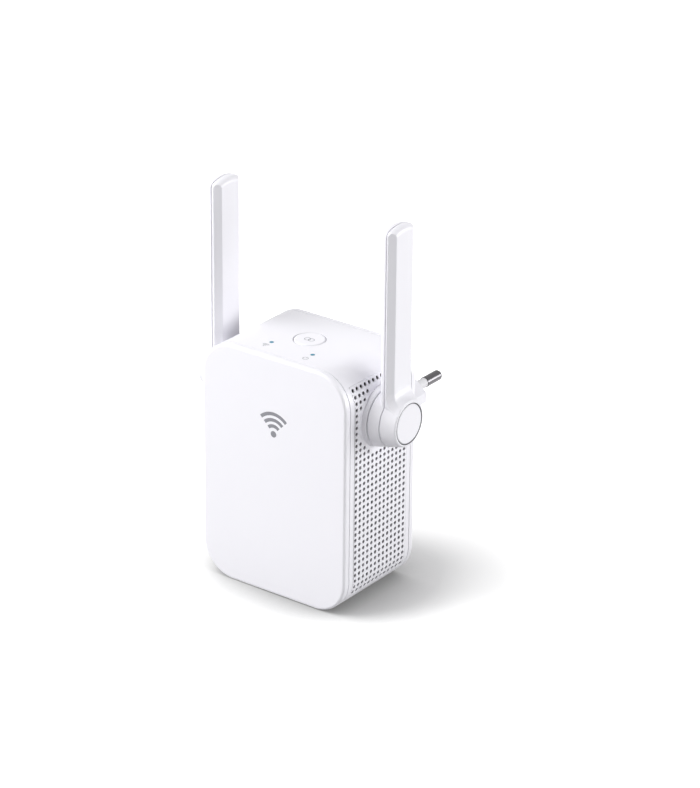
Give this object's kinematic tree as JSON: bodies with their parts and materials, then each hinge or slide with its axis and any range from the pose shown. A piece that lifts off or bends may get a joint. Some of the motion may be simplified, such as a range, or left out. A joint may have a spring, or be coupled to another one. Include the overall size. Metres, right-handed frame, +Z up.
{
  "type": "wifi range extender",
  "caption": "Plug-in wifi range extender: white upright housing with perforated sides, folding side antennas, top button and lights, bottom network socket.",
  "frame": {"origin": "middle of the housing's bottom face, on which it can stand", "axes": "+Z up, -Y out of the front face, +Y along the plug's pins, +X to the viewer's right"},
  "size_m": [0.0874, 0.0732, 0.1446],
  "materials": {
    "white_gloss": "fine satin gloss, injection moulded",
    "pin_metal": "bright nickel plate",
    "sleeve_grey": "satin",
    "nut_nylon": "matt",
    "washer_grey": "matt",
    "spring_copper": "bright strip",
    "spring_steel": "bright",
    "circuit_board": "solder mask",
    "lead_black": "satin",
    "black_moulding": "matt",
    "blue_light": "clear blue light tip",
    "chip_white": "matt",
    "contact_gold": "gold flash",
    "heat_metal": "extruded",
    "winding_tape": "polyester tape and ferrite",
    "can_black": "shrink sleeve",
    "can_blue": "shrink sleeve",
    "copper_wire": "enamelled wire",
    "fuse_green": "lacquer",
    "disc_blue": "epoxy dip",
    "fish_paper": "pressed fibre"
  },
  "bodies": {
    "housing": {"front_cover": "white_gloss", "main_housing": "white_gloss", "rear_cover": "white_gloss", "side_grille_left": "white_gloss", "side_grille_right": "white_gloss", "plug_insert": "white_gloss", "plug_pin_left": "pin_metal", "plug_pin_right": "pin_metal", "pin_sleeve_left": "sleeve_grey", "pin_sleeve_right": "sleeve_grey", "pin_contacts": "spring_copper", "hinge_base_left": "white_gloss", "hinge_base_right": "white_gloss", "stem_nut_left": "nut_nylon", "stem_nut_right": "nut_nylon", "friction_washer_left": "washer_grey", "friction_washer_right": "washer_grey", "spindle_clip_left": "spring_steel", "spindle_clip_right": "spring_steel", "board_lead_left": "lead_black", "board_lead_right": "lead_black", "lead_plugs": "contact_gold", "pair_switch": "black_moulding", "reset_switch": "black_moulding", "light_guide_signal": "blue_light", "light_guide_power": "blue_light", "status_leds": "chip_white", "main_board": "circuit_board", "power_board": "circuit_board", "board_link": "black_moulding", "network_socket": "black_moulding", "socket_contacts": "contact_gold", "line_transformer": "black_moulding", "wifi_chips": "black_moulding", "heat_spreader": "heat_metal", "shield_can": "spring_steel", "transformer": "winding_tape", "bulk_capacitors": "can_black", "output_capacitors": "can_blue", "choke": "copper_wire", "bridge_rectifier": "black_moulding", "fuse": "fuse_green", "safety_capacitor": "disc_blue", "insulating_sheet": "fish_paper", "board_screws": "spring_steel", "case_screws": "spring_steel"},
    "antenna_left": {"antenna_inner_shell_left": "white_gloss", "antenna_outer_shell_left": "white_gloss", "hub_cap_left": "white_gloss", "antenna_element_left": "circuit_board", "antenna_lead_left": "lead_black"},
    "antenna_right": {"antenna_inner_shell_right": "white_gloss", "antenna_outer_shell_right": "white_gloss", "hub_cap_right": "white_gloss", "antenna_element_right": "circuit_board", "antenna_lead_right": "lead_black"},
    "pair_button": {"pair_button": "white_gloss", "pair_plunger": "sleeve_grey"},
    "reset_plunger": {"reset_plunger": "sleeve_grey"}
  },
  "joints": [
    {"name": "antenna_left_hinge", "type": "hinge", "parent": "housing", "child": "antenna_left", "pos_m": [-0.0382, -0.0003, 0.0718], "axis": [1, 0, 0], "range_deg": [0, 180]},
    {"name": "antenna_right_hinge", "type": "hinge", "parent": "housing", "child": "antenna_right", "pos_m": [0.0382, -0.0003, 0.0718], "axis": [1, 0, 0], "range_deg": [0, 180]},
    {"name": "pair_button_press", "type": "slide", "parent": "housing", "child": "pair_button", "axis": [0, 0, -1], "range_m": [0, 0.0004], "stiffness_N_per_m": 3000},
    {"name": "reset_plunger_press", "type": "slide", "parent": "housing", "child": "reset_plunger", "axis": [0, 0, 1], "range_m": [0, 0.00025], "stiffness_N_per_m": 3000}
  ]
}
